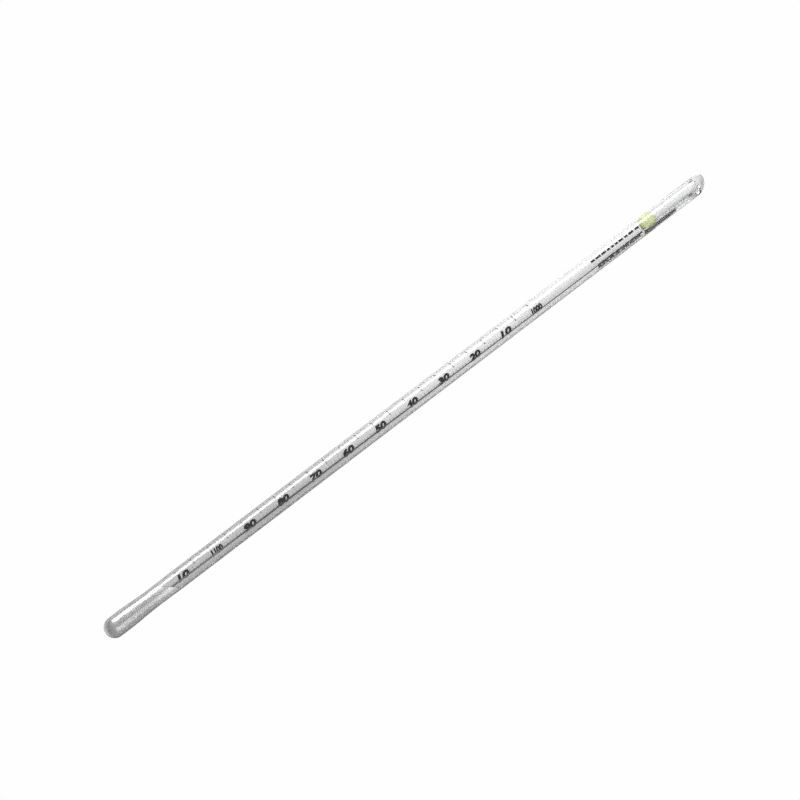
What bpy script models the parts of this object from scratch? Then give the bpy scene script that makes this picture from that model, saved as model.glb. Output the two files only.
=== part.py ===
"""A slim, straight glass hydrometer lying on its side, in metres, with +Z up.

The glass envelope is thin-walled: a slightly swollen ballast bulb at -X, a long stem, and a round
sealed tip at +X, drawn off a little to one side. Inside it are the lead shot, the sealing wax that locks
the shot in place, the rolled paper scale, and the coloured plug that holds the paper. Every piece
is modelled along the tube's own axis, as a distance from the ballast end, and is parented to an
empty on that axis.
"""

import math
from itertools import pairwise

import bmesh
import bpy
from mathutils import Matrix, Vector

# Glass envelope
LENGTH = 0.300
STEM_RADIUS = 0.0037
BULB_RADIUS = 0.0040
NECK_RADIUS = 0.0036
WALL = 0.00028
BULB_END_WALL = 0.0006
TIP_END_WALL = 0.0008
BULB_LENGTH = 0.0318
TIP_LENGTH = 0.0077
TIP_DOME = 0.0060
TIP_SKEW = 0.0014
TIP_SKEW_TURN = math.radians(-66)
BULB_TAPER_START = 0.0085
NECK_START = 0.0210
NECK_END = 0.0275
JOINT_GAP = 0.0003

# Ballast
SHOT_RADIUS = 0.00115
SHOT_GAP = 0.0002
SHOT_COUNT = 37
SHOT_SEARCH_STEP = 0.00002
WAX_END = 0.0310
WAX_GAP = 0.0003
WAX_SLANT = 1.2
WAX_HIGH_TURN = math.radians(-60)

# Paper scale
PAPER_START = 0.0317
PAPER_END = 0.2642
PAPER_TONGUE_END = 0.2817
PAPER_THICKNESS = 0.0001
PAPER_RADIUS = 0.0031
PAPER_PITCH = 0.0002
PAPER_SEAM = math.radians(50)
PAPER_TURN_STEPS = 36
PAPER_OVERLAP_STEPS = 3
TONGUE_LOW = math.radians(50)
TONGUE_HIGH = math.radians(110)

# Plug that holds the paper
PLUG_START = 0.2647
PLUG_LENGTH = 0.0086
PLUG_RADIUS = 0.0030
PLUG_ROUNDING = 0.0012
PLUG_FLAT_DISTANCE = 0.0023

# Fineness of the round shapes
FACETS = 24
DOME_STEPS = 6
TAPER_STEPS = 5
CORNER = 1 / math.cos(math.pi / FACETS)
HALF_FACET = math.pi / FACETS
MERGE = 0.0000001
SMOOTH_ANGLE = math.radians(35)


def clear_scene():
    for obj in list(bpy.data.objects):
        bpy.data.objects.remove(obj)


def principled(name, colour, roughness, metallic=0.0, transmission=0.0):
    material = bpy.data.materials.new(name)
    material.use_nodes = True
    shader = material.node_tree.nodes["Principled BSDF"]
    shader.inputs["Base Color"].default_value = (*colour, 1.0)
    shader.inputs["Roughness"].default_value = roughness
    shader.inputs["Metallic"].default_value = metallic
    shader.inputs["Transmission Weight"].default_value = transmission
    return material


def place(name, mesh, material, axis_empty):
    """The sub-part's object, round-shaded, on the tube's axis."""
    if not mesh.materials:
        mesh.materials.append(material)
    mesh.shade_smooth()
    mesh.set_sharp_from_angle(angle=SMOOTH_ANGLE)
    obj = bpy.data.objects.new(name, mesh)
    bpy.context.scene.collection.objects.link(obj)
    obj.parent = axis_empty
    return obj


def mesh_of(name, shape):
    """The finished mesh of a bmesh, with every face pointing out."""
    bmesh.ops.recalc_face_normals(shape, faces=shape.faces)
    mesh = bpy.data.meshes.new(name)
    shape.to_mesh(mesh)
    shape.free()
    return mesh


def radial(turn):
    """The direction out of the axis, turned from straight up (+Z) towards the front (-Y)."""
    return Vector((0, -math.sin(turn), math.cos(turn)))


def turned(name, profile, ring=False):
    """A solid of revolution about the tube's axis, from (distance, radius) points.

    A radius is measured to the middle of a facet, and one facet faces straight down. A ring
    profile closes on itself, as a tube's does. Any other profile starts and ends on the axis.
    """
    shape = bmesh.new()
    out = radial(HALF_FACET) * CORNER
    points = [shape.verts.new(Vector((x, 0, 0)) + out * radius) for x, radius in profile]
    edges = [shape.edges.new(pair) for pair in pairwise(points)]
    if ring:
        edges.append(shape.edges.new((points[-1], points[0])))
    bmesh.ops.spin(
        shape,
        geom=points + edges,
        cent=(0, 0, 0),
        axis=(1, 0, 0),
        angle=math.tau,
        steps=FACETS,
        use_merge=True,
    )
    bmesh.ops.remove_doubles(shape, verts=shape.verts, dist=MERGE)
    return mesh_of(name, shape)


def spaced(low, high, steps):
    return [low + (high - low) * step / steps for step in range(steps + 1)]


def dome(start, radius, length):
    """Profile points of a round end, from its pole at start to its widest point."""
    return [
        (start + length * (1 - math.cos(turn)), radius * math.sin(turn))
        for turn in spaced(0, math.radians(90), DOME_STEPS)
    ]


def eased(low, high, share):
    return low + (high - low) * share * share * (3 - 2 * share)


def bulb_radius(x):
    """Outside radius of the bulb beyond its round end: a swelling, a neck, then the stem."""
    if x < BULB_TAPER_START:
        return BULB_RADIUS
    if x < NECK_START:
        share = (x - BULB_TAPER_START) / (NECK_START - BULB_TAPER_START)
        return eased(BULB_RADIUS, NECK_RADIUS, share)
    if x < NECK_END:
        return NECK_RADIUS
    share = min(1, (x - NECK_END) / (BULB_LENGTH - NECK_END))
    return eased(NECK_RADIUS, STEM_RADIUS, share)


def bulb_stations():
    """Distances along the bulb, beyond its round end, where its radius changes."""
    taper = spaced(BULB_TAPER_START, NECK_START, TAPER_STEPS)
    return taper + spaced(NECK_END, BULB_LENGTH, TAPER_STEPS)


def ballast_bulb():
    bore = BULB_RADIUS - WALL
    outside = dome(0, BULB_RADIUS, BULB_RADIUS)
    outside += [(x, bulb_radius(x)) for x in bulb_stations()]
    inside = dome(BULB_END_WALL, bore, bore)
    inside += [(x, bulb_radius(x) - WALL) for x in bulb_stations()]
    return turned("ballast_bulb", outside + inside[::-1])


def stem_tube():
    low = BULB_LENGTH + JOINT_GAP
    high = LENGTH - TIP_LENGTH - JOINT_GAP
    bore = STEM_RADIUS - WALL
    profile = [(low, STEM_RADIUS), (high, STEM_RADIUS), (high, bore), (low, bore)]
    return turned("stem_tube", profile, ring=True)


def sealed_tip():
    """The fused end, whose round part leans over the further out it goes."""
    bore = STEM_RADIUS - WALL
    outside = [*dome(0, STEM_RADIUS, TIP_DOME), (TIP_LENGTH, STEM_RADIUS)]
    inside = [*dome(TIP_END_WALL, bore, TIP_DOME - TIP_END_WALL), (TIP_LENGTH, bore)]
    profile = outside + inside[::-1]
    mesh = turned("sealed_tip", [(LENGTH - x, radius) for x, radius in profile])
    for vertex in mesh.vertices:
        share = max(0, vertex.co.x - LENGTH + TIP_DOME) / TIP_DOME
        vertex.co += radial(TIP_SKEW_TURN) * TIP_SKEW * share * share
    return mesh


def shot_reach(x):
    """How far from the axis a shot's centre can lie at x, clear of the glass."""
    bore = bulb_radius(x) - WALL
    clear = SHOT_RADIUS + SHOT_GAP
    depth = BULB_END_WALL + bore - x
    if depth <= 0:
        return bore - clear
    return math.sqrt(max(0, (bore - clear) ** 2 - depth**2))


def shot_centres():
    """Shot packed from the round end in rings, each as near the last as it can lie."""
    spacing = 2 * SHOT_RADIUS + SHOT_GAP
    x = BULB_END_WALL + SHOT_GAP + SHOT_RADIUS
    centres = [Vector((x, 0, 0))]
    rings = 0
    while len(centres) < SHOT_COUNT:
        x += SHOT_SEARCH_STEP
        reach = shot_reach(x)
        if 2 * reach < spacing:
            continue
        count = int(math.pi / math.asin(spacing / 2 / reach))
        phase = math.pi * rings / count
        ring = [
            Vector((x, 0, 0)) + radial(phase + math.tau * turn / count) * reach
            for turn in range(count)
        ]
        if all((new - old).length >= spacing for new in ring for old in centres):
            centres += ring
            rings += 1
    return centres[:SHOT_COUNT]


def shot_mesh():
    shape = bmesh.new()
    bmesh.ops.create_icosphere(shape, subdivisions=2, radius=SHOT_RADIUS)
    return mesh_of("shot", shape)


def sealing_wax(low):
    """The wax that fills the bulb from the last shot up to the stem, and set at a slant."""
    stations = [low, *(x for x in bulb_stations() if low < x < WAX_END), WAX_END]
    sides = [(x, bulb_radius(x) - WALL - WAX_GAP) for x in stations]
    mesh = turned("full_wax", [(low, 0), *sides, (WAX_END, 0)])
    shape = bmesh.new()
    shape.from_mesh(mesh)
    bpy.data.meshes.remove(mesh)
    slant = Vector((1, 0, 0)) + radial(WAX_HIGH_TURN) * WAX_SLANT
    middle = (WAX_END - WAX_SLANT * sides[-1][1], 0, 0)
    everything = [*shape.verts, *shape.edges, *shape.faces]
    bmesh.ops.bisect_plane(
        shape, geom=everything, plane_co=middle, plane_no=slant, clear_outer=True
    )
    bmesh.ops.holes_fill(shape, edges=shape.edges)
    return mesh_of("sealing_wax", shape)


def scale_paper():
    """A strip rolled once round with an overlap, and a narrow tongue that runs past the plug.

    Its near end is cut at the wax's slant, so that it stays just clear of the wax all round.
    """
    shape = bmesh.new()
    step = math.tau / PAPER_TURN_STEPS
    steps = range(-PAPER_TURN_STEPS - PAPER_OVERLAP_STEPS, 1)
    inner = []
    outer = []
    for number in steps:
        out = radial(PAPER_SEAM + number * step)
        start = Vector((PAPER_START, 0, 0))
        radius = PAPER_RADIUS + PAPER_PITCH * number / PAPER_TURN_STEPS
        outer.append(shape.verts.new(start + out * radius))
        inner.append(shape.verts.new(start + out * (radius - PAPER_THICKNESS)))
    section = [
        shape.faces.new((*near, *reversed(far)))
        for near, far in zip(pairwise(inner), pairwise(outer), strict=True)
    ]
    end = extruded(shape, section, PAPER_END - PAPER_START)
    tongue = [face for face in end if TONGUE_LOW < turn_of(face) < TONGUE_HIGH]
    extruded(shape, tongue, PAPER_TONGUE_END - PAPER_END)
    slant = radial(WAX_HIGH_TURN) * WAX_SLANT
    for point in inner + outer:
        point.co.x -= WAX_SLANT * PAPER_RADIUS + point.co.dot(slant)
    return mesh_of("scale_paper", shape)


def turn_of(face):
    """The turn about the axis at which a face lies, as radial() counts it."""
    middle = face.calc_center_median()
    return math.atan2(-middle.y, middle.z)


def extruded(shape, faces, length):
    """Pushes faces out along the axis, and returns the faces at the far end."""
    edges = {edge for face in faces for edge in face.edges}
    made = bmesh.ops.extrude_face_region(shape, geom=[*faces, *edges])["geom"]
    ends = [item for item in made if isinstance(item, bmesh.types.BMFace)]
    points = [item for item in made if isinstance(item, bmesh.types.BMVert)]
    bmesh.ops.translate(shape, verts=points, vec=(length, 0, 0))
    return ends


def plug_cutter(axis_empty):
    """A hidden block whose near face makes the flat that clears the paper's tongue."""
    shape = bmesh.new()
    bmesh.ops.create_cube(shape, size=1)
    size = Matrix.Diagonal((2 * PLUG_LENGTH, 4 * PLUG_RADIUS, 2 * PLUG_RADIUS, 1))
    bmesh.ops.transform(shape, matrix=size, verts=shape.verts)
    cutter = bpy.data.objects.new("plug_cutter", mesh_of("plug_cutter", shape))
    bpy.context.scene.collection.objects.link(cutter)
    middle = (TONGUE_LOW + TONGUE_HIGH) / 2
    away = radial(middle) * (PLUG_FLAT_DISTANCE + PLUG_RADIUS)
    cutter.parent = axis_empty
    cutter.location = Vector((PLUG_START + PLUG_LENGTH / 2, 0, 0)) + away
    cutter.rotation_euler = (middle, 0, 0)
    cutter.hide_render = True
    cutter.display_type = "WIRE"
    return cutter


def retaining_plug():
    """A soft plug with rounded rims, before its flat is cut."""
    high = PLUG_START + PLUG_LENGTH
    core = PLUG_RADIUS - PLUG_ROUNDING
    rim = [(x, core + radius) for x, radius in dome(0, PLUG_ROUNDING, PLUG_ROUNDING)]
    near = [(PLUG_START + x, radius) for x, radius in rim]
    far = [(high - x, radius) for x, radius in reversed(rim)]
    return turned("retaining_plug", [(PLUG_START, 0), *near, *far, (high, 0)])


def main():
    clear_scene()
    glass = principled("clear_glass", (0.93, 0.95, 0.95), 0.03, transmission=1.0)
    lead = principled("shot_lead", (0.42, 0.42, 0.43), 0.35, metallic=1.0)
    wax = principled("grey_wax", (0.45, 0.45, 0.46), 0.45)
    paper = principled("scale_paper", (0.86, 0.86, 0.84), 0.75)
    plug = principled("yellow_plug", (0.72, 0.76, 0.36), 0.45)

    axis_empty = bpy.data.objects.new("tube_axis", None)
    bpy.context.scene.collection.objects.link(axis_empty)
    axis_empty.location = (-LENGTH / 2, 0, BULB_RADIUS)

    place("ballast_bulb", ballast_bulb(), glass, axis_empty)
    place("stem_tube", stem_tube(), glass, axis_empty)
    place("sealed_tip", sealed_tip(), glass, axis_empty)

    centres = shot_centres()
    ball = shot_mesh()
    for number, centre in enumerate(centres, start=1):
        place(f"shot_{number:02d}", ball, lead, axis_empty).location = centre
    bed_end = max(centre.x for centre in centres) + SHOT_RADIUS
    place("sealing_wax", sealing_wax(bed_end + WAX_GAP), wax, axis_empty)

    place("scale_paper", scale_paper(), paper, axis_empty)
    holder = place("retaining_plug", retaining_plug(), plug, axis_empty)
    flat = holder.modifiers.new("tongue_flat", "BOOLEAN")
    flat.operation = "DIFFERENCE"
    flat.object = plug_cutter(axis_empty)


main()
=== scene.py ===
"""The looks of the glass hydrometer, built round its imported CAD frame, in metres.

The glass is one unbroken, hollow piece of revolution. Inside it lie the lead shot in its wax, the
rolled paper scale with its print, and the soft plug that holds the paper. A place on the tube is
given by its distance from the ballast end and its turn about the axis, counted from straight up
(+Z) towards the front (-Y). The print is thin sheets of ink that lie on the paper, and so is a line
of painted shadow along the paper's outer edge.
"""

import math
import random
from itertools import pairwise

import bmesh
import bpy
from mathutils import Matrix, Vector, noise

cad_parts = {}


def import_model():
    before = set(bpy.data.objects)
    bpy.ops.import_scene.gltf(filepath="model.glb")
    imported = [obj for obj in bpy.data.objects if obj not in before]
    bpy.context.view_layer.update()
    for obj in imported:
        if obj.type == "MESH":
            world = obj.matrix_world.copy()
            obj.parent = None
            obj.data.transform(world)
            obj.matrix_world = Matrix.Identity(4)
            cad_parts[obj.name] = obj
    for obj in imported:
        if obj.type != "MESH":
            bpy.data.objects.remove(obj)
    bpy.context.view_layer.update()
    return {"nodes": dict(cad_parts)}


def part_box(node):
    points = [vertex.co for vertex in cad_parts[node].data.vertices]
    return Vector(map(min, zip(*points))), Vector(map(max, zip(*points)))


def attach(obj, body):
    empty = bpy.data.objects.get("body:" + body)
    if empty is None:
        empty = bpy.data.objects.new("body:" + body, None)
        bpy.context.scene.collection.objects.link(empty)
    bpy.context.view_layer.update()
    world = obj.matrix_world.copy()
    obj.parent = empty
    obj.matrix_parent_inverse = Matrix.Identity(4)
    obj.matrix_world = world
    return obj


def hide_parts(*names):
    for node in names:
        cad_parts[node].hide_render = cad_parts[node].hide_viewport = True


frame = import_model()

# The tube, read from the frame
BULB_LOW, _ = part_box("ballast_bulb")
STEM_LOW, STEM_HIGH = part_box("stem_tube")
_, TIP_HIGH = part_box("sealed_tip")
_, WAX_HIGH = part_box("sealing_wax")
PAPER_LOW, PAPER_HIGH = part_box("scale_paper")
PLUG_LOW, PLUG_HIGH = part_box("retaining_plug")
START = BULB_LOW.x
LENGTH = TIP_HIGH.x - START
AXIS_Z = (STEM_LOW.z + STEM_HIGH.z) / 2
FLOOR_Z = BULB_LOW.z
BULB_RADIUS = AXIS_Z - BULB_LOW.z
STEM_RADIUS = AXIS_Z - STEM_LOW.z

# Glass
WALL = 0.00028
BORE = STEM_RADIUS - WALL
NECK_RADIUS = 0.0036
TAPER_START = 0.0085
NECK_START = 0.0210
NECK_END = 0.0275
TAPER_END = 0.0318
BULB_END_WALL = 0.0006
TIP_END_WALL = 0.0042
TIP_DOME = 0.0060
TIP_SKEW = 0.0014
TIP_SKEW_TURN = math.radians(-66)
# The tip's grey is painted shade, slanted so that it reaches further along the tip's lower side
TIP_SHADE_SLANT = math.radians(55)
TIP_SHADE_FROM = 0.0033
TIP_SHADE_TO = 0.0013
TIP_SHADE_TINT = 0.5
GLASS_SIDES = 96
DOME_STEPS = 20
TAPER_STEPS = 14
STEM_STEPS = 12

# Ballast: the wax runs in under the paper's end, and it ends soonest at WAX_SHORT_TURN
WAX_START = 0.0009
WAX_NOSE = 0.0031
WAX_CREEP = 0.0013
WAX_END = WAX_HIGH.x - START + WAX_CREEP
WAX_GAP = 0.0002
WAX_SLANT = 1.2
WAX_SHORT_TURN = math.radians(-60)
WAX_RIPPLE = 0.00004
WAX_RIPPLES_PER_METRE = 700
WAX_STEPS = 60
WAX_END_RINGS = 10
WAX_PALE_FROM = 0.018
WAX_PALE_TO = 0.028
BALL_SUBDIVISIONS = 4
BALL_DENT = 0.00005
BALL_DENTS_PER_METRE = 1500
BALL_DENTS_SHIFT = 5000

# Paper: the sheet's angle is counted at the ballast end, and the roll is twisted a little
PAPER_START = PAPER_LOW.x - START
PLUG_CLEARANCE = 0.0005
PAPER_END = PLUG_LOW.x - START - PLUG_CLEARANCE
PAPER_SPRING = 0.00005
PAPER_RADIUS = (PAPER_HIGH.z - PAPER_LOW.z) / 2 + PAPER_SPRING
PAPER_THICKNESS = 0.0001
PAPER_PITCH = 0.0002
# Near the ballast end the paper is greyed by painted shade, which fades out between the two distances
# below
PAPER_SHADED_GREY = 0.545
PAPER_PALE = 0.79
PAPER_MOTTLE = 1.09
PAPER_SHADED_TO = 0.09
PAPER_PALE_FROM = 0.17
SEAM = math.radians(45.3)
TWIST = math.radians(18)
OVERLAP = math.radians(30)
SHEET_STEP = math.radians(3)
SHEET_ROWS = 180
SHEET_WAVE = 0.000008
SHEET_WAVES_PER_METRE = 130
SHEET_WAVES_PER_RADIAN = 0.8
SHARP_ANGLE = math.radians(50)

# Tongue of the paper, which runs past the plug and springs out against the glass
TONGUE_ROOT = 0.001
TONGUE_END = PAPER_HIGH.x - START
TONGUE_LOW = math.radians(35) - math.tau
TONGUE_HIGH = math.radians(105) - math.tau
TONGUE_SPRING = 0.0005
TONGUE_BEND = 0.003
TONGUE_ROWS = 12
TONGUE_COLUMNS = 20
TONGUE_DARK_FROM = math.radians(8)
TONGUE_DARK_INSET = 0.0006
TONGUE_DARK_STEPS = 24

# Print
INK_LIFT = 0.000018
SCALE_TOP = 110
FIGURE_EVERY = 10
HALF_EVERY = 5
FIRST_TICK = 0.1110 * LENGTH
LAST_TICK = 0.6900 * LENGTH
FIGURE_SHIFT = 0.0018
FIGURE_TURN = math.radians(24)
FIGURE_HEIGHT = 0.0021
FIGURE_WIDTH = 0.0050
FIGURE_WEIGHT = 0.00027
LONG_FIGURE_WEIGHT = 0.0002
FIGURE_SLANT = 0.22
FIGURE_SLICE = 0.00022
FIGURE_CORNER_LIMIT = 0.6
TICK_EDGE = math.radians(-68)
TICK_LONG = math.radians(53)
TICK_HALF = math.radians(70)
TICK_SHORT = math.radians(24)
TICK_WIDTH = 0.00042
HALF_TICK_WIDTH = 0.00038
UNIT_TICK_WIDTH = 0.00014
# The dark line along the paper's outer edge is painted shadow, for the line where the tube rests on
# the floor; it is wider, with more painted shade, towards the ballast
SHADOW_LINE_WIDE = math.radians(14)
SHADOW_LINE_NARROW = math.radians(7)
SHADOW_LINE_MARGIN = math.radians(0.5)
SHADOW_LINE_INSET = 0.0003
SHADOW_LINE_STEPS = 4
FINE_TICK = math.radians(14)

# Small print, drawn as plain bars of ink: one tall line of it, and a block of lower lines
NOTE_SEED = 7
NOTE_START = 0.7985 * LENGTH
NOTE_MARGIN = 0.0004
NOTE_END = PAPER_END - NOTE_MARGIN
NOTE_LEAD = 0.001
NOTE_TURN = math.radians(-18)
NOTE_HEIGHT = math.radians(18)
NOTE_BAR = (0.0014, 0.0032)
NOTE_SPACE = (0.0004, 0.0009)
NOTE_SHORTEST = 0.001
BLOCK_INDENT = 0.0008
BLOCK_LINES = 4
BLOCK_TURN = SEAM - math.tau + math.radians(4)
BLOCK_HEIGHT = math.radians(12.5)
BLOCK_LINE_STEP = math.radians(14)
BLOCK_BAR = (0.0015, 0.0045)
BLOCK_SPACE = (0.0003, 0.0006)
BLOCK_SHORTEST = 0.002
BLOCK_BAR_STEPS = 2

# Plug, whose lumps are each a share of its radius and a scale of noise
PLUG_RADIUS = 0.0036
PLUG_WETTING = 0.00003
PLUG_FULLNESS = 0.97
PLUG_LENGTH_SHARE = 0.95
PLUG_FLAT_TURN = math.radians(80)
PLUG_FLAT_DISTANCE = 0.0032
# The plug's lower side is darkened with painted shade, in this direction and from this far off the
# axis
PLUG_SHADE_TURN = math.radians(100)
PLUG_SHADE_FROM = 0.0016
PLUG_LUMPS = ((0.07, 1.9), (0.03, 5))
PLUG_SUBDIVISIONS = 5

# Camera, in degrees and metres, with its lens and sensor in millimetres
AZIMUTH = -41.20
ELEVATION = 60.0
DISTANCE = 1.1407
LENS = 135.655
SENSOR_WIDTH = 36
AIM = Vector((-0.00457, 0.00515, 0))

# Light
KEY_TURN = math.radians(-39)
KEY_X = 0.22
KEY_DISTANCE = 0.7
KEY_SIZE = (0.68, 0.37)
KEY_GLOW = 6.2
KEY_LEAN = math.radians(16)
FILL_TURN = math.radians(72)
FILL_X = -0.16
FILL_DISTANCE = 0.55
FILL_SIZE = (0.45, 0.6)
FILL_GLOW = 1.9
WORLD_LOW = 0.26
WORLD_HIGH = 0.36
WORLD_HIGH_FROM = 0.8

# Surroundings
BACKDROP_GLOW = 0.99
BACKDROP_FLAT = 3.0
BACKDROP_CURVE = 2.0
BACKDROP_TOP = 6.0
BACKDROP_STEPS = 12
BACKDROP_SIDES = 64
FLOOR_SIZE = 1.6
# The hidden floor is darkened with painted shade towards the ballast end
FLOOR_NEAR = 0.54
FLOOR_FAR = 0.98
FLOOR_NEAR_TO = 0.06
GLASS_SHADE = 0.79
GLASS_SHADE_TIP = 0.3
CONTACT_SHADE = 0.2
CONTACT_TURN = math.radians(10)


def radial(turn):
    """The direction out of the axis at a turn."""
    return Vector((0, -math.sin(turn), math.cos(turn)))


def place(x, turn, radius):
    """The point at a distance from the ballast end, a turn and a radius."""
    return Vector((START + x, 0, AXIS_Z)) + radial(turn) * radius


def spaced(low, high, steps):
    """Evenly spaced values from low to high."""
    return [low + (high - low) * step / steps for step in range(steps + 1)]


def eased(low, high, share):
    """The value at a share of a smooth change from low to high."""
    return low + (high - low) * share * share * (3 - 2 * share)


def linked(name, data):
    """A new object of the scene."""
    obj = bpy.data.objects.new(name, data)
    bpy.context.scene.collection.objects.link(obj)
    return obj


def piece(name, mesh, material):
    """An object of the hydrometer, which rides on its one body."""
    mesh.name = name
    mesh.materials.append(material)
    obj = linked(name, mesh)
    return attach(obj, "root")


def mesh_of(shape):
    """A smooth mesh made of a shape, which is used up."""
    mesh = bpy.data.meshes.new("shape")
    shape.to_mesh(mesh)
    shape.free()
    mesh.shade_smooth()
    return mesh


def lathe(shape, profile, inward=False):
    """Adds the surface that a profile of (distance, radius) points sweeps about the axis."""
    before = set(shape.faces)
    points = [shape.verts.new(place(x, 0, radius)) for x, radius in profile]
    edges = [shape.edges.new(pair) for pair in pairwise(points)]
    bmesh.ops.spin(
        shape,
        geom=points + edges,
        cent=(START, 0, AXIS_Z),
        axis=(1, 0, 0),
        angle=math.tau,
        steps=GLASS_SIDES,
        use_merge=True,
    )
    bmesh.ops.remove_doubles(shape, verts=shape.verts, dist=1e-7)
    faces = [face for face in shape.faces if face not in before]
    bmesh.ops.recalc_face_normals(shape, faces=faces)
    if inward:
        bmesh.ops.reverse_faces(shape, faces=faces)


def dome(start, radius, length):
    """Profile points of a round end, from its pole at start to its widest point."""
    return [
        (start + length * (1 - math.cos(turn)), radius * math.sin(turn))
        for turn in spaced(0, math.radians(90), DOME_STEPS)
    ]


def bulb_radius(x):
    """Outside radius of the glass beyond its ballast end: a swelling, a neck, then the stem."""
    if x < TAPER_START:
        return BULB_RADIUS
    if x < NECK_START:
        return eased(BULB_RADIUS, NECK_RADIUS, (x - TAPER_START) / (NECK_START - TAPER_START))
    if x < NECK_END:
        return NECK_RADIUS
    share = min(1, (x - NECK_END) / (TAPER_END - NECK_END))
    return eased(NECK_RADIUS, STEM_RADIUS, share)


def glass_stations(high):
    """Distances along the glass, between its round ends, where its radius is drawn."""
    bulb = spaced(TAPER_START, NECK_START, TAPER_STEPS) + spaced(NECK_END, TAPER_END, TAPER_STEPS)
    return bulb + spaced(TAPER_END, high, STEM_STEPS)[1:]


def glass_surface(bulb, tip, wall):
    """Profile of one surface of the glass, from its round end in the bulb to that in the tip."""
    stations = glass_stations(LENGTH - TIP_DOME)
    middle = [(x, bulb_radius(x) - wall) for x in stations]
    near_tip = [(LENGTH - x, radius) for x, radius in reversed(tip[:-1])]
    return bulb + middle + near_tip


def glass_envelope(material):
    """The glass, with an outside surface and a bore, and more glass at its tip, which was sealed by
    fusing.
    """
    shape = bmesh.new()
    bulb = dome(0, BULB_RADIUS, BULB_RADIUS)
    tip = dome(0, STEM_RADIUS, TIP_DOME)
    lathe(shape, glass_surface(bulb, tip, 0))
    bulb = dome(BULB_END_WALL, BULB_RADIUS - WALL, BULB_RADIUS - WALL)
    tip = dome(TIP_END_WALL, BORE, TIP_DOME - TIP_END_WALL)
    lathe(shape, glass_surface(bulb, tip, WALL), inward=True)
    for vert in shape.verts:
        share = max(0, vert.co.x - START - LENGTH + TIP_DOME) / TIP_DOME
        vert.co += radial(TIP_SKEW_TURN) * TIP_SKEW * share * share
    glass = piece("glass_envelope", mesh_of(shape), material)
    glass.visible_shadow = False
    glass.visible_diffuse = False
    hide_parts("ballast_bulb", "stem_tube", "sealed_tip")


def wax_fill(material):
    """The wax round and beyond the shot, which set at a slant."""
    shape = bmesh.new()
    inset = WALL + WAX_GAP
    nose = dome(WAX_START, BULB_RADIUS - inset, WAX_NOSE)
    stations = spaced(WAX_START + WAX_NOSE, WAX_END, WAX_STEPS)
    sides = [(x, bulb_radius(x) - inset) for x in stations]
    rim = sides[-1][1]
    end = [(WAX_END, rim * share) for share in spaced(1, 0, WAX_END_RINGS)[1:]]
    lathe(shape, nose[:-1] + sides + end)
    slant = radial(WAX_SHORT_TURN) * WAX_SLANT
    for vert in shape.verts:
        level = WAX_END - WAX_SLANT * rim - (vert.co - place(0, 0, 0)).dot(slant)
        vert.co.x = min(vert.co.x, START + level)
    bmesh.ops.remove_doubles(shape, verts=shape.verts, dist=1e-6)
    for vert in shape.verts:
        out = Vector((0, vert.co.y, vert.co.z - AXIS_Z))
        if out.length > 0:
            ripple = WAX_RIPPLE * noise.noise(vert.co * WAX_RIPPLES_PER_METRE)
            vert.co += out.normalized() * ripple
    wax = piece("ballast_wax", mesh_of(shape), material)
    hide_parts("sealing_wax")


def lead_balls(material):
    """One dented ball for each shot of the frame."""
    nodes = sorted(name for name in frame["nodes"] if name.startswith("shot_"))
    for node in nodes:
        low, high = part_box(node)
        centre = (low + high) / 2
        radius = (high.x - low.x) / 2
        shape = bmesh.new()
        bmesh.ops.create_icosphere(shape, subdivisions=BALL_SUBDIVISIONS, radius=radius)
        for vert in shape.verts:
            spot = vert.co * BALL_DENTS_PER_METRE + centre * BALL_DENTS_SHIFT
            vert.co -= vert.co.normalized() * BALL_DENT * abs(noise.noise(spot))
            vert.co += centre
        ball = piece(node.replace("shot", "lead_ball"), mesh_of(shape), material)
        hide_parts(node)


def sheet_radius(x, angle):
    """Outside radius of the rolled paper at an angle of the sheet, with its slight waves."""
    roll = PAPER_RADIUS - PAPER_PITCH * (SEAM - angle) / math.tau
    wave = noise.noise(Vector((x * SHEET_WAVES_PER_METRE, angle * SHEET_WAVES_PER_RADIAN, 0)))
    return roll - SHEET_WAVE * (1 + wave)


def on_sheet(x, angle, lift=0.0):
    """The point over the paper at a distance from the ballast end and an angle of the sheet."""
    spring = eased(0, TONGUE_SPRING, min(1, max(0, (x - PAPER_END) / TONGUE_BEND)))
    return place(x, angle + TWIST * x / LENGTH, sheet_radius(x, angle) + spring + lift)


def paper_start(angle):
    """Where the paper starts at an angle of the sheet: its near end is cut at the wax's slant."""
    turn = angle + TWIST * PAPER_START / LENGTH
    return PAPER_START + WAX_SLANT * PAPER_RADIUS * (1 - math.cos(turn - WAX_SHORT_TURN))


def bridged(shape, rows):
    """Adds the faces between rows of points."""
    for near, far in pairwise(rows):
        for (a, b), (c, d) in zip(pairwise(near), pairwise(far), strict=True):
            shape.faces.new((a, b, d, c))


def sheet_shell(shape, rows, angles):
    """Adds a closed sheet of paper through the given rows and angles, from its slanted end on."""
    places = [[(max(x, paper_start(a)), a) for a in angles] for x in rows]
    outer = [[shape.verts.new(on_sheet(x, a)) for x, a in row] for row in places]
    inner = [[shape.verts.new(on_sheet(x, a, -PAPER_THICKNESS)) for x, a in row] for row in places]
    for layer in (outer, inner):
        bridged(shape, layer)
    for end in (0, -1):
        bridged(shape, (outer[end], inner[end]))
        bridged(shape, ([row[end] for row in outer], [row[end] for row in inner]))
    bmesh.ops.remove_doubles(shape, verts=shape.verts, dist=1e-7)


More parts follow.
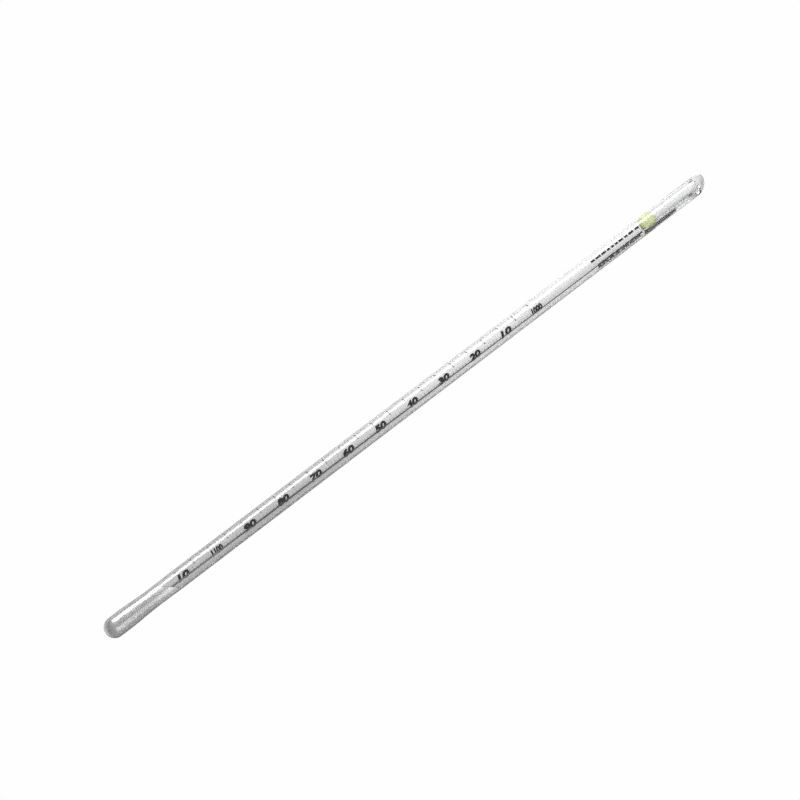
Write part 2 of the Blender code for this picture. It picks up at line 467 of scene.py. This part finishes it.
def paper_roll(material):
    """The rolled scale, and the narrow tongue of it that runs past the plug."""
    shape = bmesh.new()
    count = round((math.tau + OVERLAP) / SHEET_STEP)
    angles = [SEAM - step * SHEET_STEP for step in range(count, -1, -1)]
    sheet_shell(shape, spaced(PAPER_START, PAPER_END, SHEET_ROWS), angles)
    rows = spaced(PAPER_END - TONGUE_ROOT, TONGUE_END, TONGUE_ROWS)
    sheet_shell(shape, rows, spaced(TONGUE_LOW, TONGUE_HIGH, TONGUE_COLUMNS))
    bmesh.ops.recalc_face_normals(shape, faces=shape.faces)
    mesh = mesh_of(shape)
    mesh.set_sharp_from_angle(angle=SHARP_ANGLE)
    paper = piece("paper_roll", mesh, material)
    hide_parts("scale_paper")


def ink_patch(shape, x_low, x_high, angle_low, angle_high, x_steps=1):
    """Adds a rectangle of ink that follows the paper."""
    steps = max(1, round((angle_high - angle_low) / SHEET_STEP))
    angles = spaced(angle_low, angle_high, steps)
    rows = [
        [shape.verts.new(on_sheet(x, angle, INK_LIFT)) for angle in angles]
        for x in spaced(x_low, x_high, x_steps)
    ]
    bridged(shape, rows)


def tick_place(value):
    """Distance of a scale value's tick from the ballast end. Zero is nearest the tip."""
    return LAST_TICK + (FIRST_TICK - LAST_TICK) * value / SCALE_TOP


def scale_ticks(material):
    """Ticks along the upper edge of the scale, and fine ones that stand on the line of painted shadow
    by its outer edge.
    """
    shape = bmesh.new()
    foot = SEAM - SHADOW_LINE_NARROW
    half = UNIT_TICK_WIDTH / 2
    for value in range(SCALE_TOP + 1):
        x = tick_place(value)
        length, width = TICK_SHORT, UNIT_TICK_WIDTH
        if value % HALF_EVERY == 0:
            length, width = TICK_HALF, HALF_TICK_WIDTH
        if value % FIGURE_EVERY == 0:
            length, width = TICK_LONG, TICK_WIDTH
        ink_patch(shape, x - width / 2, x + width / 2, TICK_EDGE, TICK_EDGE + length)
        if value % FIGURE_EVERY:
            ink_patch(shape, x - half, x + half, foot - FINE_TICK, foot)
    piece("scale_ticks", mesh_of(shape), material)


def scale_shadow_line(material):
    """A dark line of painted shadow along the paper's outer edge, for the tube's line of contact with
    the floor, wider towards the ballast.
    """
    shape = bmesh.new()
    outer = SEAM - SHADOW_LINE_MARGIN
    rows = []
    for x in spaced(PAPER_START + SHADOW_LINE_INSET, PAPER_END - SHADOW_LINE_INSET, SHEET_ROWS):
        width = SHADOW_LINE_WIDE + (SHADOW_LINE_NARROW - SHADOW_LINE_WIDE) * min(1, x / LAST_TICK)
        angles = spaced(outer - width, outer, SHADOW_LINE_STEPS)
        spots = [(max(x, paper_start(angle) + SHADOW_LINE_INSET), angle) for angle in angles]
        rows.append([shape.verts.new(on_sheet(*spot, INK_LIFT)) for spot in spots])
    bridged(shape, rows)
    bmesh.ops.remove_doubles(shape, verts=shape.verts, dist=1e-7)
    piece("scale_shadow_line", mesh_of(shape), material)


def figure_text(value):
    """Specific gravity in thousandths, in full at the hundreds and by its last places between."""
    return str(value % 100) if value % 100 else str(1000 + value)


def flat_figure(text):
    """A figure's flat mesh, centred on the origin."""
    curve = bpy.data.curves.new("figure", "FONT")
    curve.body = text
    curve.shear = FIGURE_SLANT
    obj = linked("figure", curve)
    bpy.context.view_layer.update()
    graph = bpy.context.evaluated_depsgraph_get()
    mesh = bpy.data.meshes.new_from_object(obj.evaluated_get(graph))
    bpy.data.objects.remove(obj)
    bpy.data.curves.remove(curve)
    shape = bmesh.new()
    shape.from_mesh(mesh)
    bpy.data.meshes.remove(mesh)
    low = Vector([min(vert.co[i] for vert in shape.verts) for i in range(3)])
    high = Vector([max(vert.co[i] for vert in shape.verts) for i in range(3)])
    size = high - low
    for vert in shape.verts:
        middle = vert.co - (low + high) / 2
        across, up = middle.x / size.x, middle.y / size.y
        vert.co = Vector((across * FIGURE_WIDTH, up * FIGURE_HEIGHT, 0))
    return shape


def fattened(shape, weight):
    """A flat mesh with its outline moved outwards, so that its strokes are bolder."""
    outward = {}
    for edge in shape.edges:
        if len(edge.link_faces) == 1:
            start, end = (vert.co for vert in edge.verts)
            side = (end - start).cross(Vector((0, 0, 1))).normalized()
            if side.dot(edge.link_faces[0].calc_center_median() - start) > 0:
                side.negate()
            for vert in edge.verts:
                outward.setdefault(vert, []).append(side)
    for vert, sides in outward.items():
        middle = sum(sides, Vector()).normalized()
        vert.co += middle * weight / max(FIGURE_CORNER_LIMIT, middle.dot(sides[0]))
    return shape


def sliced(shape):
    """A flat mesh cut into narrow strips, so that it can be bent."""
    level = -FIGURE_HEIGHT / 2 + FIGURE_SLICE
    while level < FIGURE_HEIGHT / 2:
        geometry = [*shape.verts, *shape.edges, *shape.faces]
        bmesh.ops.bisect_plane(shape, geom=geometry, plane_co=(0, level, 0), plane_no=(0, 1, 0))
        level += FIGURE_SLICE
    return shape


def scale_figures(material):
    """The figures, which read from the ballast end towards the tip."""
    whole = bmesh.new()
    for value in range(0, SCALE_TOP + 1, FIGURE_EVERY):
        text = figure_text(value)
        weight = FIGURE_WEIGHT if len(text) == 2 else LONG_FIGURE_WEIGHT
        shape = sliced(fattened(flat_figure(text), weight))
        centre = tick_place(value) + FIGURE_SHIFT
        for vert in shape.verts:
            angle = FIGURE_TURN - vert.co.y / PAPER_RADIUS
            vert.co = on_sheet(centre + vert.co.x, angle, INK_LIFT)
        mesh = bpy.data.meshes.new("figure")
        shape.to_mesh(mesh)
        shape.free()
        whole.from_mesh(mesh)
        bpy.data.meshes.remove(mesh)
    piece("scale_figures", mesh_of(whole), material)


def note_line(shape, x, angle, height, bars, spaces, shortest, x_steps=1):
    """Adds a line of ink bars from x to the notes' end, with lengths and spaces in two ranges."""
    while x < NOTE_END - shortest:
        bar = random.uniform(*bars)
        ink_patch(shape, x, min(NOTE_END, x + bar), angle, angle + height, x_steps)
        x += bar + random.uniform(*spaces)


def scale_notes(material):
    """Plain bars of ink in place of lines of small print."""
    shape = bmesh.new()
    random.seed(NOTE_SEED)
    start = NOTE_START - NOTE_LEAD
    note_line(shape, start, NOTE_TURN, NOTE_HEIGHT, NOTE_BAR, NOTE_SPACE, NOTE_SHORTEST)
    lines = [BLOCK_TURN + line * BLOCK_LINE_STEP for line in range(BLOCK_LINES)]
    for angle in [SEAM - BLOCK_HEIGHT, *lines]:
        note_line(
            shape,
            NOTE_START + BLOCK_INDENT,
            angle,
            BLOCK_HEIGHT,
            BLOCK_BAR,
            BLOCK_SPACE,
            BLOCK_SHORTEST,
            BLOCK_BAR_STEPS,
        )
    piece("scale_notes", mesh_of(shape), material)


def tongue_dark_sheet(material):
    """A dark sheet over the outer part of the tongue."""
    shape = bmesh.new()
    near, far = PAPER_END + TONGUE_DARK_INSET, TONGUE_END - TONGUE_DARK_INSET
    ink_patch(shape, near, far, TONGUE_LOW + TONGUE_DARK_FROM, TONGUE_HIGH, TONGUE_DARK_STEPS)
    piece("tongue_dark_sheet", mesh_of(shape), material)


def plug(material):
    """A soft, lumpy dab with a flat side that lets the tongue pass."""
    middle, half = (PLUG_LOW.x + PLUG_HIGH.x) / 2, (PLUG_HIGH.x - PLUG_LOW.x) / 2
    shape = bmesh.new()
    bmesh.ops.create_icosphere(shape, subdivisions=PLUG_SUBDIVISIONS, radius=1)
    away = radial(PLUG_FLAT_TURN)
    for vert in shape.verts:
        point = vert.co.normalized()
        full = Vector([math.copysign(abs(v) ** PLUG_FULLNESS, v) for v in point])
        lump = 1 + sum(share * noise.noise(point * scale) for share, scale in PLUG_LUMPS)
        across = Vector((0, full.y, full.z)) * PLUG_RADIUS * lump
        if across.length > BORE + PLUG_WETTING:
            across = across.normalized() * (BORE + PLUG_WETTING)
        across -= away * max(0, across.dot(away) - PLUG_FLAT_DISTANCE)
        along = max(-half, min(half, full.x * half * lump * PLUG_LENGTH_SHARE))
        vert.co = Vector((middle + along, 0, AXIS_Z)) + across
    dab = piece("plug_dab", mesh_of(shape), material)
    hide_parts("retaining_plug")


class Nodes:
    """A new node material, with its Principled shader and short ways to add nodes."""

    def __init__(self, name):
        self.material = bpy.data.materials.new(name)
        self.material.use_nodes = True
        self.tree = self.material.node_tree
        self.shader = self.tree.nodes["Principled BSDF"]

    def node(self, kind, **values):
        """A new node with some inputs set. A name's underscores stand for spaces."""
        made = self.tree.nodes.new(kind)
        for name, value in values.items():
            made.inputs[name.replace("_", " ")].default_value = value
        return made

    def link(self, source, target):
        self.tree.links.new(source, target)

    def noise(self, scale, detail=3.0, stretch=(1, 1, 1)):
        """Noise in the object's own space, stretched along its axes."""
        coordinates = self.node("ShaderNodeTexCoord")
        mapping = self.node("ShaderNodeMapping", Scale=stretch)
        self.link(coordinates.outputs["Object"], mapping.inputs["Vector"])
        made = self.node("ShaderNodeTexNoise", Scale=scale, Detail=detail)
        self.link(mapping.outputs["Vector"], made.inputs["Vector"])
        return made.outputs["Fac"]

    def along(self, direction, low, high):
        """A point's distance from the tube's start along a direction, as a share from low to high."""
        coordinates = self.node("ShaderNodeTexCoord")
        product = self.node("ShaderNodeVectorMath")
        product.operation = "DOT_PRODUCT"
        product.inputs[1].default_value = direction
        self.link(coordinates.outputs["Object"], product.inputs[0])
        start = place(0, 0, 0).dot(Vector(direction))
        share = self.node("ShaderNodeMapRange", From_Min=start + low, From_Max=start + high)
        self.link(product.outputs["Value"], share.inputs["Value"])
        return share.outputs["Result"]

    def ramp(self, source, stops, target):
        """A source turned into colours between two stops, into a socket."""
        ramp = self.node("ShaderNodeValToRGB")
        for element, (position, colour) in zip(ramp.color_ramp.elements, stops, strict=True):
            element.position = position
            element.color = (*colour, 1)
        self.link(source, ramp.inputs["Fac"])
        self.link(ramp.outputs["Color"], target)

    def two_tone(self, share, source, first, second):
        """Base colour that goes from one pair of noise tints to a second pair by a share."""
        mix = self.node("ShaderNodeMix")
        mix.data_type = "RGBA"
        self.link(share, mix.inputs["Factor"])
        first_socket, second_socket = (socket for socket in mix.inputs if socket.type == "RGBA")
        self.ramp(source, first, first_socket)
        self.ramp(source, second, second_socket)
        (result,) = (socket for socket in mix.outputs if socket.type == "RGBA")
        self.link(result, self.shader.inputs["Base Color"])

    def spread(self, source, low, high, target):
        """A source spread between two values, into a socket."""
        spread = self.node("ShaderNodeMapRange", To_Min=low, To_Max=high)
        self.link(source, spread.inputs["Value"])
        self.link(spread.outputs["Result"], target)

    def bump(self, source, strength, distance):
        bump = self.node("ShaderNodeBump", Strength=strength, Distance=distance)
        self.link(source, bump.inputs["Height"])
        self.link(bump.outputs["Normal"], self.shader.inputs["Normal"])

    def set(self, **values):
        """Constant inputs of the shader. A name's underscores stand for spaces."""
        for name, value in values.items():
            self.shader.inputs[name.replace("_", " ")].default_value = value


def glass_material():
    """Clear drawn glass with faint long waves, greyed at its tip by painted shade that reaches
    further along its lower side.
    """
    nodes = Nodes("drawn_glass")
    nodes.set(Transmission_Weight=1.0, IOR=1.5)
    # Painted shade on the tip, greyest at its end and on its lower side
    slanted = Vector((math.cos(TIP_SHADE_SLANT), 0, 0)) - math.sin(TIP_SHADE_SLANT) * radial(TIP_SKEW_TURN)
    end = math.cos(TIP_SHADE_SLANT) * LENGTH
    shaded_tip = nodes.along(slanted, end - TIP_SHADE_FROM, end - TIP_SHADE_TO)
    tints = [(0, (0.99, 0.995, 0.995)), (1, (TIP_SHADE_TINT,) * 3)]
    nodes.ramp(shaded_tip, tints, nodes.shader.inputs["Base Color"])
    nodes.spread(nodes.noise(420, 4), 0.0, 0.02, nodes.shader.inputs["Roughness"])
    nodes.bump(nodes.noise(60, 1, (0.3, 1, 1)), 0.04, 0.0001)
    return nodes.material


def paper_material():
    """Pale scale paper with fine fibres and slight mottling, greyed towards the ballast by painted
    shade.
    """
    nodes = Nodes("scale_stock")
    nodes.set(Specular_IOR_Level=0.25, Sheen_Weight=0.05)
    # Painted shade on the paper, full near the ballast and gone further along
    unshaded = nodes.along((1, 0, 0), PAPER_SHADED_TO, PAPER_PALE_FROM)
    greys = (PAPER_SHADED_GREY, PAPER_PALE)
    near, far = ([(0.35, (grey,) * 3), (0.7, (grey * PAPER_MOTTLE,) * 3)] for grey in greys)
    nodes.two_tone(unshaded, nodes.noise(900, 4, (0.25, 1, 1)), near, far)
    nodes.spread(nodes.noise(2500), 0.62, 0.85, nodes.shader.inputs["Roughness"])
    nodes.bump(nodes.noise(5200, 5, (0.35, 1, 1)), 0.06, 0.00002)
    return nodes.material


def ink_material(name, dark, pale, worn):
    """Printed ink that lies a little unevenly."""
    nodes = Nodes(name)
    nodes.set(Specular_IOR_Level=0.15)
    tints = [(worn, (dark, dark, dark * 1.03)), (worn + 0.25, (pale, pale, pale * 1.02))]
    nodes.ramp(nodes.noise(2600, 4), tints, nodes.shader.inputs["Base Color"])
    nodes.spread(nodes.noise(1800), 0.35, 0.6, nodes.shader.inputs["Roughness"])
    nodes.bump(nodes.noise(6000), 0.15, 0.00001)
    return nodes.material


def wax_material():
    """Grey ballast filling with a metallic sheen, cloudy, with small pits, paler at its far end."""
    nodes = Nodes("ballast_filling")
    nodes.set(Metallic=0.35, Specular_IOR_Level=0.6)
    end = nodes.along((1, 0, 0), WAX_PALE_FROM, WAX_PALE_TO)
    grey = [(0.3, (0.45, 0.45, 0.455)), (0.72, (0.56, 0.56, 0.565))]
    pale = [(0.3, (0.65, 0.65, 0.65)), (0.72, (0.77, 0.77, 0.77))]
    nodes.two_tone(end, nodes.noise(520, 5), grey, pale)
    nodes.spread(nodes.noise(900), 0.28, 0.42, nodes.shader.inputs["Roughness"])
    nodes.bump(nodes.noise(900, 3), 0.05, 0.00006)
    return nodes.material


def lead_material():
    """Dull lead with a dark skin and brighter rubbed places."""
    nodes = Nodes("dull_lead")
    nodes.set(Metallic=0.75)
    tints = [(0.35, (0.25, 0.255, 0.27)), (0.7, (0.50, 0.505, 0.52))]
    nodes.ramp(nodes.noise(1400, 4), tints, nodes.shader.inputs["Base Color"])
    nodes.spread(nodes.noise(1100), 0.32, 0.58, nodes.shader.inputs["Roughness"])
    nodes.bump(nodes.noise(4200, 4), 0.3, 0.00004)
    return nodes.material


def plug_material():
    """Soft yellow-green resin, cloudy, with painted shade that darkens its lower side, and a skin
    that shines a little.
    """
    nodes = Nodes("yellow_resin")
    nodes.set(Coat_Weight=0.3, Coat_Roughness=0.15)
    # Painted shade on the plug's lower side
    shaded_side = nodes.along(radial(PLUG_SHADE_TURN), PLUG_SHADE_FROM, BORE)
    pale = [(0.3, (0.60, 0.67, 0.30)), (0.7, (0.79, 0.84, 0.47))]
    shaded = [(0.3, (0.10, 0.12, 0.04)), (0.7, (0.18, 0.20, 0.08))]
    nodes.two_tone(shaded_side, nodes.noise(420, 4), pale, shaded)
    nodes.spread(nodes.noise(800), 0.22, 0.45, nodes.shader.inputs["Roughness"])
    nodes.bump(nodes.noise(900, 4), 0.25, 0.0001)
    return nodes.material


def glow_material():
    """The backdrop's even white glow."""
    material = bpy.data.materials.new("white_backdrop")
    material.use_nodes = True
    tree = material.node_tree
    glow = tree.nodes.new("ShaderNodeEmission")
    glow.inputs["Strength"].default_value = BACKDROP_GLOW
    tree.links.new(glow.outputs["Emission"], tree.nodes["Material Output"].inputs["Surface"])
    return material


def staged(name, mesh, material):
    """An object of the surroundings, which is no part of the hydrometer."""
    mesh.materials.append(material)
    obj = linked(name, mesh)
    return obj


def backdrop():
    """A wide white floor that curves up into a wall all round, for the camera alone."""
    shape = bmesh.new()
    curve = [
        (BACKDROP_FLAT + BACKDROP_CURVE * math.sin(turn), BACKDROP_CURVE * (1 - math.cos(turn)))
        for turn in spaced(0, math.radians(90), BACKDROP_STEPS)
    ]
    profile = [(0, 0), *curve, (BACKDROP_FLAT + BACKDROP_CURVE, BACKDROP_TOP)]
    points = [shape.verts.new((x, 0, FLOOR_Z + z)) for x, z in profile]
    edges = [shape.edges.new(pair) for pair in pairwise(points)]
    bmesh.ops.spin(
        shape,
        geom=points + edges,
        cent=(0, 0, 0),
        axis=(0, 0, 1),
        angle=math.tau,
        steps=BACKDROP_SIDES,
    )
    bmesh.ops.remove_doubles(shape, verts=shape.verts, dist=1e-5)
    obj = staged("white_backdrop", mesh_of(shape), glow_material())
    obj.visible_diffuse = False
    obj.visible_glossy = False
    obj.visible_transmission = False
    obj.visible_shadow = False


def pale_floor():
    """The floor that the glass, the paper and the light see, with painted shade that darkens it under
    the ballast end.
    """
    shape = bmesh.new()
    bmesh.ops.create_grid(shape, x_segments=2, y_segments=2, size=FLOOR_SIZE)
    bmesh.ops.translate(shape, verts=shape.verts, vec=(0, 0, FLOOR_Z))
    nodes = Nodes("pale_floor")
    nodes.set(Specular_IOR_Level=0.1)
    share = nodes.along((1, 0, 0), FLOOR_NEAR_TO, LENGTH)
    tints = [(0, (FLOOR_NEAR,) * 3), (1, (FLOOR_FAR,) * 3)]
    nodes.ramp(share, tints, nodes.shader.inputs["Base Color"])
    nodes.spread(nodes.noise(20), 0.7, 0.9, nodes.shader.inputs["Roughness"])
    floor = staged("pale_floor", mesh_of(shape), nodes.material)
    floor.visible_camera = False


def shadow_only(name, shape, shade):
    """A staged shape that the camera doesn't see, and that dims the light on its way down."""
    material = bpy.data.materials.new(name)
    material.use_nodes = True
    tree = material.node_tree
    clear = tree.nodes.new("ShaderNodeBsdfTransparent")
    clear.inputs["Color"].default_value = (shade, shade, shade, 1)
    tree.links.new(clear.outputs["BSDF"], tree.nodes["Material Output"].inputs["Surface"])
    dimmer = staged(name, mesh_of(shape), material)
    dimmer.visible_camera = False
    dimmer.visible_glossy = False
    dimmer.visible_transmission = False


def tip_shade():
    """Stands in for the soft shadow of the clear glass tip, and for its dark line of contact."""
    low, high = PLUG_HIGH.x - START, LENGTH - TIP_DOME
    shape = bmesh.new()
    profile = [(low, STEM_RADIUS), (high, STEM_RADIUS), (LENGTH, STEM_RADIUS * GLASS_SHADE_TIP)]
    lathe(shape, profile)
    shadow_only("glass_shade", shape, GLASS_SHADE)
    shape = bmesh.new()
    turns = [math.pi - CONTACT_TURN, math.pi, math.pi + CONTACT_TURN]
    rows = [[shape.verts.new(place(x, turn, STEM_RADIUS)) for turn in turns] for x in (low, high)]
    bridged(shape, rows)
    shadow_only("contact_shade", shape, CONTACT_SHADE)


def world():
    """Soft grey surroundings, darker towards the horizon."""
    made = bpy.data.worlds.new("studio")
    bpy.context.scene.world = made
    made.use_nodes = True
    tree = made.node_tree
    background = tree.nodes["Background"]
    coordinates = tree.nodes.new("ShaderNodeTexCoord")
    split = tree.nodes.new("ShaderNodeSeparateXYZ")
    spread = tree.nodes.new("ShaderNodeMapRange")
    spread.inputs["From Max"].default_value = WORLD_HIGH_FROM
    spread.inputs["To Min"].default_value = WORLD_LOW
    spread.inputs["To Max"].default_value = WORLD_HIGH
    tree.links.new(coordinates.outputs["Generated"], split.inputs["Vector"])
    tree.links.new(split.outputs["Z"], spread.inputs["Value"])
    tree.links.new(spread.outputs["Result"], background.inputs["Strength"])
    background.inputs["Color"].default_value = (1, 1, 1, 1)


def softbox(name, x, turn, distance, size, glow, lean=0.0, mirrored=True):
    """A rectangular light that faces the tube from a turn about its axis, leaning off its line."""
    data = bpy.data.lights.new(name, "AREA")
    data.shape = "RECTANGLE"
    data.size, data.size_y = size
    data.energy = glow * math.pi * size[0] * size[1]
    light = linked(name, data)
    light.visible_glossy = mirrored
    out = radial(turn)
    light.location = Vector((x, 0, AXIS_Z)) + out * distance
    along = Vector((1, 0, 0)) * math.cos(lean) + radial(turn + math.radians(90)) * math.sin(lean)
    light.rotation_euler = Matrix((along, out.cross(along), out)).transposed().to_euler()


def camera():
    """The camera at the photo's viewing angle, aimed at a point of the floor."""
    turn, rise = math.radians(AZIMUTH), math.radians(ELEVATION)
    level = Vector((math.sin(turn), -math.cos(turn), 0))
    back = level * math.cos(rise) + Vector((0, 0, math.sin(rise)))
    data = bpy.data.cameras.new("camera")
    data.lens = LENS
    data.sensor_width = SENSOR_WIDTH
    obj = linked("camera", data)
    obj.location = Vector((AIM.x, AIM.y, FLOOR_Z)) + back * DISTANCE
    obj.rotation_euler = back.to_track_quat("Z", "Y").to_euler()
    bpy.context.scene.camera = obj


def view_settings():
    """Plain colours, and enough bounces for light to get in and out of the glass."""
    scene = bpy.context.scene
    scene.view_settings.view_transform = "Standard"
    scene.cycles.max_bounces = 24
    scene.cycles.transmission_bounces = 24
    scene.cycles.glossy_bounces = 12
    scene.cycles.diffuse_bounces = 4
    scene.cycles.use_denoising = True


def main():
    ink = ink_material("figure_ink", 0.007, 0.02, 0.5)
    tick_and_shadow_ink = ink_material("fine_ink_and_painted_shadow", 0.09, 0.16, 0.45)
    note_ink = ink_material("note_ink", 0.012, 0.03, 0.5)
    glass_envelope(glass_material())
    wax_fill(wax_material())
    lead_balls(lead_material())
    paper_roll(paper_material())
    scale_figures(ink)
    scale_ticks(tick_and_shadow_ink)
    # The line of painted shadow along the paper's edge, drawn in the fine ink
    scale_shadow_line(tick_and_shadow_ink)
    scale_notes(note_ink)
    tongue_dark_sheet(ink)
    plug(plug_material())
    backdrop()
    pale_floor()
    tip_shade()
    world()
    softbox("key", KEY_X, KEY_TURN, KEY_DISTANCE, KEY_SIZE, KEY_GLOW, lean=KEY_LEAN)
    softbox("fill", FILL_X, FILL_TURN, FILL_DISTANCE, FILL_SIZE, FILL_GLOW, mirrored=False)
    camera()
    view_settings()


main()
